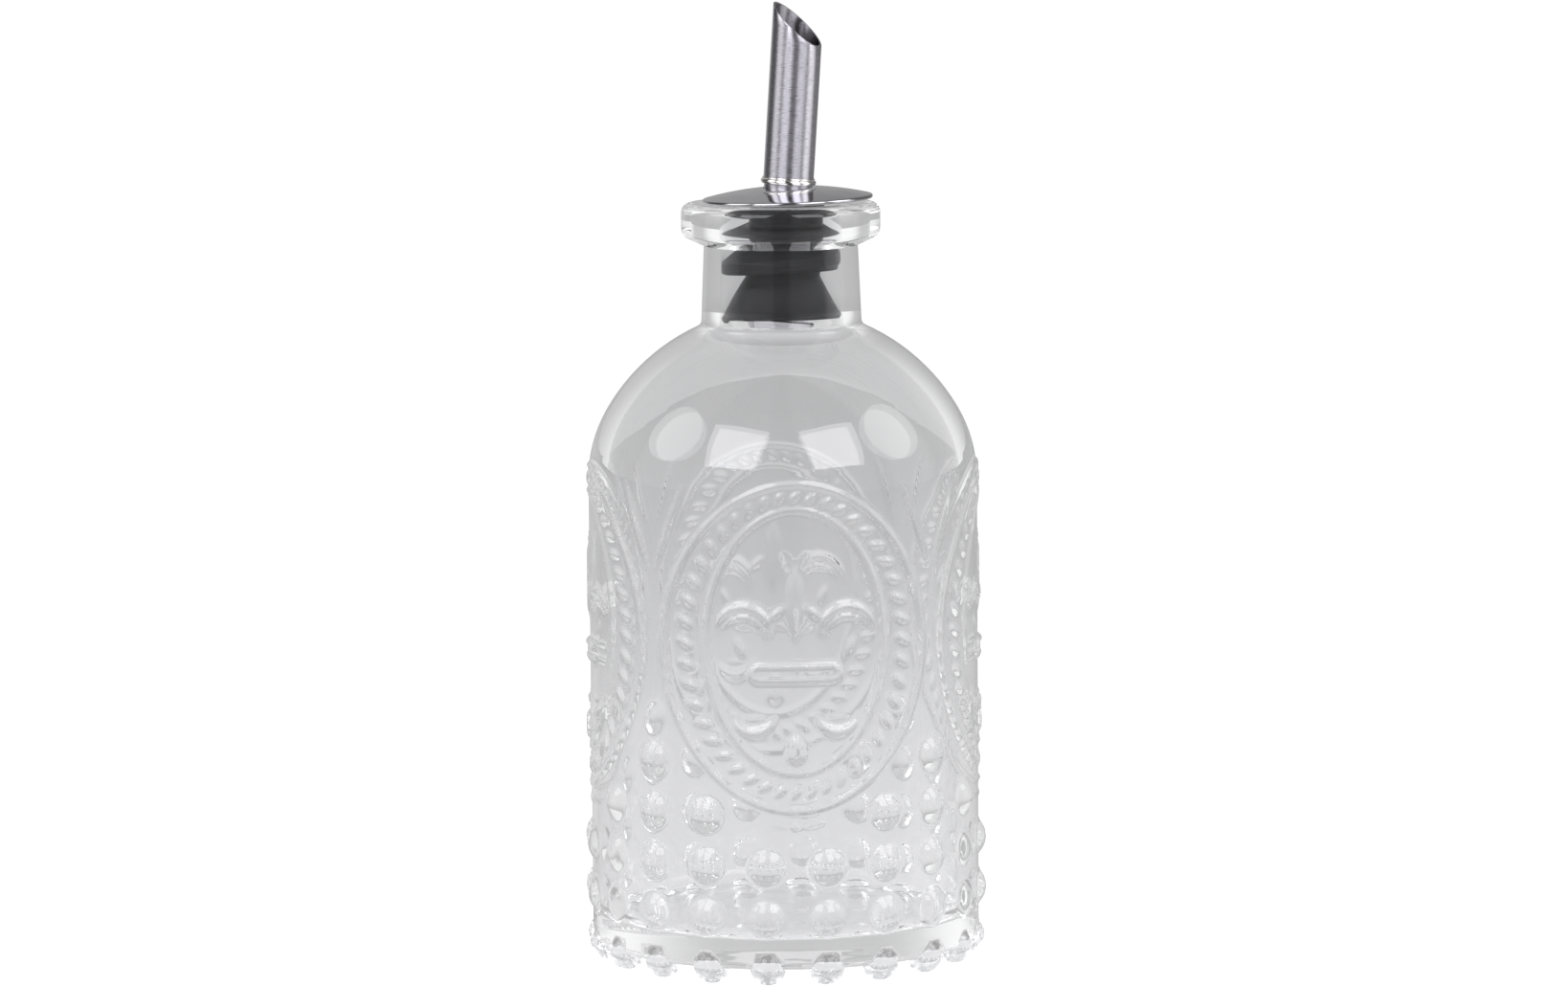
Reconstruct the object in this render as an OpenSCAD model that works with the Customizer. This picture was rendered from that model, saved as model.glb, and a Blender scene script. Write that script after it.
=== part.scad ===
// Pressed-glass oil bottle with a push-in steel pourer.
// Millimetres, +Z up. The origin is on the bottle's axis, on the surface that its bead feet stand on.
// One medallion faces -Y. The pourer leans towards +X.

/* [Body] */
// Outer diameter of the glass body
body_d = 74.4; // [70:0.2:80]
// Height above the table where the straight side turns into the shoulder
side_top = 91.9; // [84:0.1:110]
// Radius of the shoulder's first arc
shoulder_r = 26; // [22:0.5:30]
// Angle through which the first arc turns before the crown takes over
shoulder_turn = 30; // [20:1:40]
// Thickness of the glass in the side and the shoulder
body_wall = 3.4; // [2.6:0.1:4.2]
// Thickness of the glass in the floor
floor_t = 2.5; // [2:0.1:4]
// Rounding of the outer corner under the side
heel_r = 1.5; // [0.8:0.1:2]
// Rounding of the inner corner between the side and the floor
floor_r = 3; // [1:0.1:5]

/* [Neck and lip] */
// Bore of the neck
bore_d = 23.4; // [22:0.2:25]
// Length of the neck from the top of its root fillet to the lip's underside
neck_len = 15.9; // [13:0.1:22]
// Thickness of the glass in the neck
neck_wall = 3; // [2.5:0.1:4]
// How much the neck widens on each side towards its root
neck_flare = 0.6; // [0.2:0.1:1]
// Rounding between the neck and the shoulder outside
neck_fillet = 1.5; // [0.5:0.1:3]
// Rounding between the bore and the shoulder inside
throat_r = 8; // [4:0.5:10]
// How far the lip stands out from the neck
lip_reach = 4.3; // [3:0.1:6]
// Height of the lip
lip_h = 6.4; // [5.4:0.1:8]
// Rounding of the lip's upper edge
lip_top_r = 1.8; // [0.8:0.1:2.2]
// Rounding of the lip's lower edge
lip_under_r = 3; // [1:0.1:3.4]
// Rounding of the mouth's inner edge
mouth_r = 0.8; // [0.4:0.1:1.2]

/* [Beads and feet] */
// Beads in a full ring
bead_count = 20; // [16:4:24]
// Width of a bead where it leaves the side
bead_d = 6.8; // [5:0.1:8]
// How far a bead stands out of the side
bead_h = 1.5; // [1:0.1:2]
// Height of the lowest row of beads
bead_first = 12.8; // [11:0.1:14]
// Distance from one row to the next
bead_pitch = 9.7; // [8:0.1:11]
// Diameter of a bead foot
foot_d = 7; // [5.6:0.1:8]
// How far the feet stand out of the side
foot_reach = 1.2; // [0.6:0.1:1.8]
// Depth of the flat under each foot
foot_flat = 0.2; // [0.1:0.05:0.5]
// Height of the glass between the feet
foot_gap = 2.9; // [2:0.1:3.2]

/* [Medallions] */
// Height of the middle of the outer oval
oval_z = 64; // [60:0.5:68]
// Half the height of the outer oval
oval_half_h = 31.5; // [26:0.5:33]
// Half the angle that the outer oval spans around the body
oval_half_turn = 42.4; // [36:0.2:44]
// Height of the middle of the inner oval
inner_oval_z = 65.2; // [60:0.2:68]
// Half the height of the inner oval
inner_oval_half_h = 25.6; // [22:0.2:27]
// Half the width of the inner oval
inner_oval_half_w = 17.4; // [15:0.2:19]
// Width of an oval's ridge
ridge_w = 1.6; // [1:0.1:3]
// How far an oval's ridge stands out
ridge_h = 0.5; // [0.3:0.1:1]
// How far the lily stands out
lily_h = 1.3; // [0.8:0.1:1.6]
// Height of the lily's cross band
band_z = 59.2; // [57:0.2:61]
// Width of the cross band
band_w = 17.6; // [14:0.2:20]
// Thickness of the cross band
band_t = 3.7; // [2.5:0.1:5]
// Length of the middle petal
petal_len = 28; // [24:0.5:30]
// Width of the middle petal
petal_w = 11; // [8:0.5:13]
// Distance from the axis to the middle of a side petal's curl
curl_x = 8.6; // [8:0.2:10]
// Height of the middle of a side petal's curl
curl_z = 66.6; // [65:0.2:68]
// Diameter of a side petal's curl
curl_d = 12.4; // [10:0.2:13]
// How far the bite in a side petal's curl is set outwards
curl_bite_out = 2.6; // [2:0.1:3]
// How far the bite in a side petal's curl is set downwards
curl_bite_down = 2.4; // [2:0.1:3]
// Distance from the axis to the middle of a lower tail's curl
tail_x = 7.2; // [7:0.1:9]
// Height of the middle of a lower tail's curl
tail_z = 53; // [51:0.2:54]
// Diameter of a lower tail's curl
tail_d = 11; // [9:0.2:12]
// How far the bite in a lower tail's curl is set outwards
tail_bite_out = 1.6; // [1:0.1:2]
// How far the bite in a lower tail's curl is set upwards
tail_bite_up = 2.6; // [2:0.1:3]
// Height of the bud at the lily's foot
bud_z = 44.6; // [43:0.2:46]
// Diameter of the bud
bud_d = 4.2; // [3:0.2:5]

/* [Pourer] */
// Lean of the pourer towards +X
lean = 3.75; // [0:0.25:5]
// Depth below the mouth where the pourer's axis crosses the neck's
lean_depth = 19.5; // [17:0.5:22]
// Outer diameter of the spout tube
tube_d = 9.6; // [8:0.1:10.4]
// Thickness of the tube's steel
tube_wall = 0.4; // [0.3:0.05:0.8]
// How far the tube is drawn in from the collar down, on the radius
stem_step = 0.2; // [0.1:0.05:0.4]
// Length of the spout above its crossing with the neck's axis, to the middle of its cut
spout_len = 54; // [46:0.5:64]
// Angle of the slant cut
cut_angle = 40; // [20:1:50]
// Direction in which the cut falls, from +X towards -Y
cut_turn = 25; // [0:5:90]
// How far the bead collar stands out from the tube
collar_reach = 0.5; // [0.3:0.05:0.9]
// Height of the bead collar
collar_h = 2; // [1.4:0.1:3]
// How far the domed disc reaches past the bore
disc_reach = 4.55; // [3:0.05:5.5]
// Height of the dome over its rim
disc_rise = 2; // [1.4:0.1:3]
// Thickness of the disc's steel
disc_t = 0.8; // [0.5:0.05:1]
// Height of the disc's rim over the lip
disc_lift = 1.1; // [0.9:0.1:2]
// Tilt of the disc, its +X side up
disc_tilt = 1.5; // [0:0.25:2]

/* [Stopper] */
// Thickness of the rubber around the tube's stem
core_wall = 2.5; // [2.1:0.1:3.2]
// Depth of the core's lower end below the mouth
sleeve_len = 21.7; // [20:0.1:24]
// Clearance between the fins and the neck's bore
fin_gap = 0.3; // [0.2:0.05:0.6]
// Depth of each fin's root below the mouth
fin_depth = [4.3, 7.7, 14.2]; // [3:0.1:16]
// Fall of each fin from its root to its rim
fin_drop = [0.8, 2.3, 6.7]; // [0:0.1:7]
// Height of each fin's rim
fin_edge = [1.6, 2.6, 0.7]; // [0.5:0.1:3]
// Thickness of each fin at its root
fin_root = [2, 3.4, 2]; // [1.5:0.1:4]
// Height of the steel bush below the rubber
bush_h = 1.9; // [1.4:0.1:3]
// Thickness of the bush around the stem where it meets the rubber
bush_top_wall = 1.85; // [1.2:0.05:2.1]
// Thickness of the bush around the stem at its lower end
bush_end_wall = 1.2; // [0.8:0.05:1.8]

/* [Clearances] */
// Running clearance around the tube, on the radius
run_gap = 0.05; // [0.02:0.01:0.1]
// Clearance between faces that turn against each other
face_gap = 0.1; // [0.05:0.05:0.3]
// Clearance of a seated or soldered face
seat_gap = 0.02; // [0.01:0.01:0.05]

/* [Hidden] */

MEDALLIONS = 4;
OVAL_STEPS = 36;
ARC_STEP = 7.5;
ARC_STEPS_MIN = 4;
// Where the round underside of the lip leaves the neck, as an angle below level.
LIP_UNDER_FROM = -60;
CUT_MARGIN = 1;
$fn = 96;

body_r = body_d / 2;
bore_r = bore_d / 2;
neck_r = bore_r + neck_wall;
neck_root_r = neck_r + neck_flare;
lip_r = neck_r + lip_reach;
tube_r = tube_d / 2;
stem_r = tube_r - stem_step;
core_r = stem_r + core_wall;
fin_r = bore_r - fin_gap;

// The crown is a dome about the bottle's axis that runs on from the shoulder's first arc.
shoulder_x = body_r - shoulder_r;
crown_r = shoulder_r + shoulder_x / cos(shoulder_turn);
crown_z = side_top - shoulder_x * tan(shoulder_turn);
shoulder_in_r = shoulder_r - body_wall;
crown_in_r = crown_r - body_wall;

// The fillets at the neck's root touch the crown and the neck, outside and inside.
fillet_x = neck_root_r + neck_fillet;
fillet_z = crown_z + sqrt(pow(crown_r + neck_fillet, 2) - pow(fillet_x, 2));
fillet_turn = angle_to(0, crown_z, fillet_x, fillet_z);
throat_x = bore_r + throat_r;
throat_z = crown_z + sqrt(pow(crown_in_r + throat_r, 2) - pow(throat_x, 2));
throat_turn = angle_to(0, crown_z, throat_x, throat_z);

lip_z = fillet_z + neck_len;
mouth_z = lip_z + lip_h;
floor_z = foot_gap + floor_t;
cavity_r = body_r - body_wall;

// A bead is the cap of a ball that sits partly in the side.
bead_ball_r = (pow(bead_d / 2, 2) + pow(bead_h, 2)) / (2 * bead_h);
bead_ball_x = body_r + bead_h - bead_ball_r;
bead_step = 360 / bead_count;
foot_x = body_r + foot_reach - foot_d / 2;
foot_z = foot_d / 2 - foot_flat;

// Each row keeps the beads that lie outside the outer oval, this far from the middle of a medallion.
ROW_CLEAR = [0, 0, 20, 40];

// The pourer's axis crosses the neck's axis here, and distances along it are counted from this point.
pivot_z = mouth_z - lean_depth;
disc_s = (lean_depth + disc_lift) / cos(lean);
disc_r = bore_r + disc_reach;
disc_ball_r = (pow(disc_r, 2) + pow(disc_rise, 2)) / (2 * disc_rise);
disc_lean = lean + disc_tilt;
core_top = disc_under(core_r) - seat_gap;
collar_r = tube_r + collar_reach;
collar_s = disc_s + disc_over(collar_r) + collar_r * tan(disc_lean) + face_gap;
// The tube's shoulder sits on the collar.
stem_top_s = collar_s + collar_h + seat_gap;
core_end_s = (lean_depth - sleeve_len) / cos(lean);
bush_top_s = core_end_s - face_gap;
tube_end_s = bush_top_s - bush_h;

// Height of the disc's outside and inside over its rim, at radius r.
function disc_over(r) = disc_rise - disc_ball_r + sqrt(pow(disc_ball_r, 2) - pow(r, 2));
function disc_under(r) = disc_rise - disc_ball_r + sqrt(pow(disc_ball_r - disc_t, 2) - pow(r, 2));

// Points of an arc about [x, z] from one angle to another, with a point at each end.
function arc(x, z, r, from, to) =
    let (steps = max(ARC_STEPS_MIN, ceil(abs(to - from) / ARC_STEP)))
    [for (i = [0:steps]) let (a = from + (to - from) * i / steps) [x + r * cos(a), z + r * sin(a)]];

// Every point but the first, for an arc that starts where the outline already is.
function onward(points) = [for (i = [1:len(points) - 1]) points[i]];

// Angle at a circle about [x, z] towards the point [px, pz].
function angle_to(x, z, px, pz) = atan2(pz - z, px - x);

// Ellipse about [0, z].
function oval_points(half_w, half_h, z) =
    [for (i = [0:OVAL_STEPS - 1]) let (a = 360 * i / OVAL_STEPS) [half_w * cos(a), z + half_h * sin(a)]];

// Outline of the glass from the floor's underside to the axis at the mouth, as if it were solid.
function outside_points() = concat(
    [[0, foot_gap]],
    arc(body_r - heel_r, foot_gap + heel_r, heel_r, -90, 0),
    arc(shoulder_x, side_top, shoulder_r, 0, shoulder_turn),
    onward(arc(0, crown_z, crown_r, shoulder_turn, fillet_turn)),
    onward(arc(fillet_x, fillet_z, neck_fillet, 180 + fillet_turn, 180)),
    [[neck_r, lip_z]],
    arc(lip_r - lip_under_r, lip_z + lip_under_r, lip_under_r, LIP_UNDER_FROM, 0),
    arc(lip_r - lip_top_r, mouth_z - lip_top_r, lip_top_r, 0, 90),
    [[0, mouth_z]]);

// Outline of the space inside, running out through the mouth.
function inside_points() = concat(
    [[0, floor_z]],
    arc(cavity_r - floor_r, floor_z + floor_r, floor_r, -90, 0),
    arc(shoulder_x, side_top, shoulder_in_r, 0, shoulder_turn),
    onward(arc(0, crown_z, crown_in_r, shoulder_turn, throat_turn)),
    onward(arc(throat_x, throat_z, throat_r, 180 + throat_turn, 180)),
    arc(bore_r + mouth_r, mouth_z - mouth_r, mouth_r, 180, 90),
    [[bore_r + mouth_r, mouth_z + CUT_MARGIN], [0, mouth_z + CUT_MARGIN]]);

// Outline of the disc's sheet: over the dome to the rim and back along its hollow side.
function disc_points() =
    let (middle = disc_rise - disc_ball_r,
         inner_r = disc_ball_r - disc_t,
         rim_in = sqrt(pow(inner_r, 2) - pow(middle, 2)))
    concat(arc(0, middle, disc_ball_r, 90, angle_to(0, middle, disc_r, 0)),
           arc(0, middle, inner_r, angle_to(0, middle, rim_in, 0), 90));

// Smallest angle between a bearing and the middle of its nearest medallion.
function off_medallion(a) = let (m = a % (360 / MEDALLIONS)) min(m, 360 / MEDALLIONS - m);

module beads() {
    for (row = [0:len(ROW_CLEAR) - 1])
        for (i = [0:bead_count - 1])
            let (a = (i + 0.5) * bead_step)
                if (off_medallion(a) > ROW_CLEAR[row])
                    rotate([0, 0, a])
                        translate([bead_ball_x, 0, bead_first + row * bead_pitch])
                            sphere(r = bead_ball_r);
}

module feet() {
    for (i = [0:bead_count - 1])
        rotate([0, 0, (i + 0.5) * bead_step])
            translate([foot_x, 0, foot_z])
                sphere(d = foot_d);
}

module oval_ring(half_w, half_h, z) {
    difference() {
        polygon(oval_points(half_w, half_h, z));
        polygon(oval_points(half_w - ridge_w, half_h - ridge_w, z));
    }
}

// A pointed leaf between two heights: the part that two circles share.
module leaf(width, length, z) {
    r = (pow(length / 2, 2) + pow(width / 2, 2)) / width;
    intersection() {
        translate([r - width / 2, z]) circle(r = r);
        translate([width / 2 - r, z]) circle(r = r);
    }
}

// A curl: a disc with an equal disc, set off to one side, bitten out of it.
module crescent(x, z, d, bite_x, bite_z) {
    difference() {
        translate([x, z]) circle(d = d);
        translate([x + bite_x, z + bite_z]) circle(d = d);
    }
}

// Lily as a flat outline. The middle petal and the side petals' stems grow out of the band.
module lily() {
    leaf(petal_w, petal_len, band_z + petal_len / 2);
    translate([-(band_w - band_t) / 2, band_z - band_t / 2]) square([band_w - band_t, band_t]);
    for (side = [-1, 1]) {
        translate([side * (band_w - band_t) / 2, band_z]) circle(d = band_t);
        crescent(side * curl_x, curl_z, curl_d, side * curl_bite_out, -curl_bite_down);
        crescent(side * tail_x, tail_z, tail_d, side * tail_bite_out, tail_bite_up);
    }
    leaf(bud_d, band_z - bud_z, (band_z + bud_z) / 2);
    translate([0, bud_z]) circle(d = bud_d);
}

// A flat outline pressed outwards through the side that faces -Y, as deep as the relief.
module pressed(relief) {
    intersection() {
        rotate([90, 0, 0]) linear_extrude(body_r + bead_h) children();
        cylinder(r = body_r + relief, h = oval_z + oval_half_h + CUT_MARGIN);
    }
}

module medallion() {
    pressed(ridge_h) oval_ring(body_r * sin(oval_half_turn), oval_half_h, oval_z);
    pressed(ridge_h) oval_ring(inner_oval_half_w, inner_oval_half_h, inner_oval_z);
    pressed(lily_h) lily();
}

module glass_bottle() {
    color([0.86, 0.9, 0.9, 0.45])
        difference() {
            union() {
                rotate_extrude() polygon(outside_points());
                beads();
                feet();
                for (i = [0:MEDALLIONS - 1]) rotate([0, 0, i * 360 / MEDALLIONS]) medallion();
            }
            rotate_extrude() polygon(inside_points());
            translate([0, 0, -foot_d]) cylinder(r = body_r + foot_d, h = foot_d);
        }
}

// Places a piece on the pourer's axis, at a distance along it.
module on_axis(s) {
    translate([0, 0, pivot_z]) rotate([0, lean, 0]) translate([0, 0, s]) children();
}

// Places a piece in the disc's own plane, on the rim's level.
module on_disc() {
    on_axis(disc_s) rotate([0, -disc_lean, 0]) children();
}

module fin(depth, drop, edge, root) {
    top = mouth_z - depth;
    rotate_extrude()
        polygon([[stem_r, top], [core_r, top], [fin_r, top - drop], [fin_r, top - drop - edge],
                 [core_r, top - root], [stem_r, top - root]]);
}

module rubber_sleeve() {
    color([0.1, 0.1, 0.12])
        difference() {
            union() {
                on_axis(core_end_s) cylinder(r = core_r, h = disc_s - core_end_s + disc_rise);
                for (i = [0:len(fin_depth) - 1])
                    fin(fin_depth[i], fin_drop[i], fin_edge[i], fin_root[i]);
            }
            on_axis(core_end_s - CUT_MARGIN)
                cylinder(r = stem_r + run_gap, h = disc_s - core_end_s + disc_rise + 2 * CUT_MARGIN);
            on_disc() translate([0, 0, core_top]) cylinder(r = disc_r, h = disc_r);
        }
}

module dome_disc() {
    color([0.62, 0.63, 0.66])
        difference() {
            on_disc() rotate_extrude() polygon(disc_points());
            on_axis(disc_s - disc_r) cylinder(r = stem_r + run_gap, h = 2 * disc_r);
        }
}

module spout_collar() {
    bead = collar_h / 2;
    outline = concat([[0, 0]], arc(collar_r - bead, bead, bead, -90, 90), [[0, collar_h]]);
    color([0.85, 0.85, 0.87])
        on_axis(collar_s)
            difference() {
                rotate_extrude() polygon(outline);
                translate([0, 0, -CUT_MARGIN])
                    cylinder(r = stem_r + seat_gap, h = collar_h + 2 * CUT_MARGIN);
            }
}

// A thin tube with a shoulder: its wall steps outwards above the stem, first outside and then inside.
module spout_tube() {
    reach = spout_len - tube_end_s + tube_d;
    step = stem_top_s - tube_end_s;
    color([0.74, 0.74, 0.78])
        difference() {
            on_axis(tube_end_s)
                difference() {
                    union() {
                        cylinder(r = stem_r, h = reach);
                        translate([0, 0, step]) cylinder(r = tube_r, h = reach - step);
                    }
                    translate([0, 0, -CUT_MARGIN])
                        cylinder(r = stem_r - tube_wall, h = reach + 2 * CUT_MARGIN);
                    translate([0, 0, step + tube_wall]) cylinder(r = tube_r - tube_wall, h = reach);
                }
            on_axis(spout_len)
                rotate([0, 0, -cut_turn]) rotate([0, cut_angle, 0])
                    translate([-tube_d * 2, -tube_d * 2, 0]) cube(tube_d * 4);
        }
}

module end_bush() {
    color([0.85, 0.85, 0.87])
        on_axis(tube_end_s)
            difference() {
                cylinder(r1 = stem_r + bush_end_wall, r2 = stem_r + bush_top_wall, h = bush_h);
                translate([0, 0, -CUT_MARGIN]) cylinder(r = stem_r + seat_gap, h = bush_h + 2 * CUT_MARGIN);
            }
}

glass_bottle();
rubber_sleeve();
dome_disc();
spout_collar();
spout_tube();
end_bush();
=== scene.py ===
"""Glass oil bottle with a push-in steel pourer: finished meshes, materials, studio and camera.

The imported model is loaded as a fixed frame. Each of its solids is replaced by a finished mesh in the
same place and of the same sizes, apart from a few that stay with the finished mesh: the bottle's lip and
floor, the collar's height, the spout's length and the relief. Sizes in the classes are millimetres and
degrees, and a mesh is scaled to metres once, when it becomes an object.
"""

from __future__ import annotations

import logging
import math
from collections.abc import Iterable
from dataclasses import dataclass, field
from enum import Enum

import bmesh
import bpy
from mathutils import Matrix, Vector

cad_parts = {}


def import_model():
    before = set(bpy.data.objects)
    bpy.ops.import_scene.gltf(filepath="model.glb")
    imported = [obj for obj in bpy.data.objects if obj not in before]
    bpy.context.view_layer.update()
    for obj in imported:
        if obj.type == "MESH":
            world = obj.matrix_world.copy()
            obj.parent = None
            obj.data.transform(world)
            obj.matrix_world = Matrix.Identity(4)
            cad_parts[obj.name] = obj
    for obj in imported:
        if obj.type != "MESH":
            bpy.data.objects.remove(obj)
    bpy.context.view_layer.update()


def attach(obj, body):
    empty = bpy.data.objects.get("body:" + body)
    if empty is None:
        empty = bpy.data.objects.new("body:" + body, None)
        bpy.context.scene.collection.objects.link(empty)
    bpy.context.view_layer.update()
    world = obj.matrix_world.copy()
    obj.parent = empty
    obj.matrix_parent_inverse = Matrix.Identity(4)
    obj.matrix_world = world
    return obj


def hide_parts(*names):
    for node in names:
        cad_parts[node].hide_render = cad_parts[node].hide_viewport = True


MM = 0.001
FULL_TURN = 360.0
# Vertices that are closer than this become one.
MERGE_MM = 1e-4
# Attribute of the tube's faces that is 1 in its bore and 0 elsewhere: it marks where the steel gets painted
# shade.
BORE_SHADE_ATTRIBUTE = "bore"
# A ray that has been mirrored more often than this counts as trapped in the glass.
MIRRORS = 2.5

log = logging.getLogger("oil_bottle")

Point = tuple[float, float]
Colour = tuple[float, float, float]
Stretch = tuple[float, float, float]
Socket = bpy.types.NodeSocket


class Body(Enum):
    """The bodies of the frame that a piece can ride on."""

    BOTTLE = "bottle"
    STOPPER = "stopper"
    SPOUT = "spout"


class Edge(Enum):
    """How the surface of a raised form climbs from its edge."""

    SOFT = "soft"
    ROUND = "round"


# ---- Drawing and turning profiles ----


class Pen:
    """Draws a profile in the plane y = 0 as a chain of edges, lines by extrusion and arcs by spin."""

    def __init__(self, bm: bmesh.types.BMesh, x: float, z: float) -> None:
        """Starts a profile.

        Args:
            bm: Mesh that takes the profile.
            x: Distance of the first point from the axis.
            z: Height of the first point.
        """
        self.bm = bm
        self.tip = bm.verts.new((x, 0.0, z))

    def line(self, x: float, z: float, steps: int = 1) -> Pen:
        """Draws a straight stretch.

        Args:
            x: Distance of its end from the axis.
            z: Height of its end.
            steps: Number of equal edges.

        Returns:
            The pen.
        """
        step = (Vector((x, 0.0, z)) - self.tip.co) / steps
        for _ in range(steps):
            self.tip = bmesh.ops.extrude_vert_indiv(self.bm, verts=[self.tip])["verts"][0]
            bmesh.ops.translate(self.bm, verts=[self.tip], vec=step)
        return self

    def arc(self, x: float, z: float, turn: float, steps: int) -> Pen:
        """Draws an arc about a centre.

        Args:
            x: Distance of the centre from the axis.
            z: Height of the centre.
            turn: Angle to turn through, positive from +X towards +Z.
            steps: Number of equal edges.

        Returns:
            The pen.
        """
        made = bmesh.ops.spin(
            self.bm, geom=[self.tip], cent=(x, 0.0, z), axis=(0.0, -1.0, 0.0), dvec=(0.0, 0.0, 0.0),
            angle=math.radians(turn), steps=steps, use_merge=False, use_normal_flip=False,
            use_duplicate=False)
        self.tip = next(part for part in made["geom_last"] if isinstance(part, bmesh.types.BMVert))
        return self


def lathe(bm: bmesh.types.BMesh, sides: int) -> None:
    """Spins the drawn profile a full turn about Z and closes its seam and poles.

    Args:
        bm: Mesh that holds the profile.
        sides: Number of steps round the axis.
    """
    bmesh.ops.remove_doubles(bm, verts=bm.verts, dist=MERGE_MM)
    bmesh.ops.spin(
        bm, geom=bm.verts[:] + bm.edges[:], cent=(0.0, 0.0, 0.0), axis=(0.0, 0.0, 1.0), dvec=(0.0, 0.0, 0.0),
        angle=math.tau, steps=sides, use_merge=True, use_normal_flip=False, use_duplicate=False)
    bmesh.ops.remove_doubles(bm, verts=bm.verts, dist=MERGE_MM)
    bmesh.ops.recalc_face_normals(bm, faces=bm.faces)


def slice_off(bm: bmesh.types.BMesh, point: Vector, normal: Vector) -> list[bmesh.types.BMEdge]:
    """Cuts away everything on one side of a plane.

    Args:
        bm: Mesh to cut.
        point: A point of the plane.
        normal: Points to the side that goes.

    Returns:
        The edges of the cut.
    """
    cut = bmesh.ops.bisect_plane(
        bm, geom=bm.verts[:] + bm.edges[:] + bm.faces[:], dist=MERGE_MM, plane_co=point, plane_no=normal,
        clear_outer=True)
    return [part for part in cut["geom_cut"] if isinstance(part, bmesh.types.BMEdge)]


def as_object(bm: bmesh.types.BMesh, name: str, crease: float,
              place: Matrix | None = None) -> bpy.types.Object:
    """Turns a mesh in millimetres into a smooth-shaded object at the origin, with its place in its mesh.

    Args:
        bm: Mesh to hand over, which is freed.
        name: Name of the object.
        crease: Angle from which an edge stays sharp.
        place: Where the mesh goes, in millimetres, or None to leave it where it is.

    Returns:
        The new object, linked to the scene.
    """
    if place is not None:
        bmesh.ops.transform(bm, matrix=place, verts=bm.verts)
    bmesh.ops.scale(bm, vec=(MM, MM, MM), verts=bm.verts)
    mesh = bpy.data.meshes.new(name)
    bm.to_mesh(mesh)
    bm.free()
    mesh.shade_smooth()
    mesh.set_sharp_from_angle(angle=math.radians(crease))
    piece = bpy.data.objects.new(name, mesh)
    bpy.context.scene.collection.objects.link(piece)
    return piece


# ---- Raised forms of the pressed glass, drawn flat ----


def smooth_step(t: float) -> float:
    """Rises softly from 0 at t = 0 to 1 at t = 1."""
    t = min(max(t, 0.0), 1.0)
    return t * t * (3.0 - 2.0 * t)


@dataclass(frozen=True)
class Form:
    """A raised form. Its depth is how far a point lies inside its outline.

    Attributes:
        height: How far the middle stands out.
        slope: Distance over which the edge climbs to the full height.
        edge: How the edge climbs.
    """

    height: float = 0.45
    slope: float = 0.7
    edge: Edge = Edge.SOFT

    def depth(self, x: float, z: float) -> float:
        """Distance of a point inside the outline, negative outside."""
        raise NotImplementedError

    def rise(self, x: float, z: float) -> float:
        """Height of the form's surface over a point."""
        depth = self.depth(x, z)
        if depth <= 0.0:
            return 0.0
        share = min(depth / self.slope, 1.0)
        if self.edge is Edge.ROUND:
            return self.height * math.sqrt(1.0 - (1.0 - share) ** 2)
        return self.height * smooth_step(share)


@dataclass(frozen=True)
class Spot(Form):
    """A round form about a point."""

    at: Point = (0.0, 0.0)
    radius: float = 1.0

    def depth(self, x: float, z: float) -> float:
        """Distance inside the circle."""
        return self.radius - math.hypot(x - self.at[0], z - self.at[1])


@dataclass(frozen=True)
class Moon(Form):
    """A crescent: a circle with another circle bitten out of it."""

    at: Point = (0.0, 0.0)
    radius: float = 1.0
    bite: Point = (0.0, 0.0)
    bite_radius: float = 1.0

    def depth(self, x: float, z: float) -> float:
        """Distance inside the first circle and outside the second."""
        inside = self.radius - math.hypot(x - self.at[0], z - self.at[1])
        outside = math.hypot(x - self.bite[0], z - self.bite[1]) - self.bite_radius
        return min(inside, outside)


@dataclass(frozen=True)
class Leaf(Form):
    """A pointed leaf between two tips: what two equal circles share."""

    tip: Point = (0.0, 0.0)
    end: Point = (0.0, 1.0)
    width: float = 1.0

    def depth(self, x: float, z: float) -> float:
        """Distance inside both circles."""
        run = (self.end[0] - self.tip[0], self.end[1] - self.tip[1])
        half = math.hypot(*run) / 2.0
        way = (run[0] / (2.0 * half), run[1] / (2.0 * half))
        off = (x - (self.tip[0] + self.end[0]) / 2.0, z - (self.tip[1] + self.end[1]) / 2.0)
        along = off[0] * way[0] + off[1] * way[1]
        across = abs(off[0] * way[1] - off[1] * way[0])
        radius = (half * half + self.width * self.width / 4.0) / self.width
        return radius - math.hypot(along, across + radius - self.width / 2.0)


@dataclass(frozen=True)
class Bar(Form):
    """A bar with round ends between two points."""

    start: Point = (0.0, 0.0)
    end: Point = (1.0, 0.0)
    radius: float = 1.0

    def depth(self, x: float, z: float) -> float:
        """Distance inside the bar."""
        run = (self.end[0] - self.start[0], self.end[1] - self.start[1])
        share = ((x - self.start[0]) * run[0] + (z - self.start[1]) * run[1]) / (run[0] ** 2 + run[1] ** 2)
        share = min(max(share, 0.0), 1.0)
        off = (x - self.start[0] - share * run[0], z - self.start[1] - share * run[1])
        return self.radius - math.hypot(*off)


@dataclass(frozen=True)
class Rim(Form):
    """A ridge that follows another form's outline, just inside it."""

    around: Form = field(default_factory=Form)
    width: float = 1.0

    def depth(self, x: float, z: float) -> float:
        """Distance inside the ridge."""
        inside = self.around.depth(x, z)
        return min(inside, self.width - inside)


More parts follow.
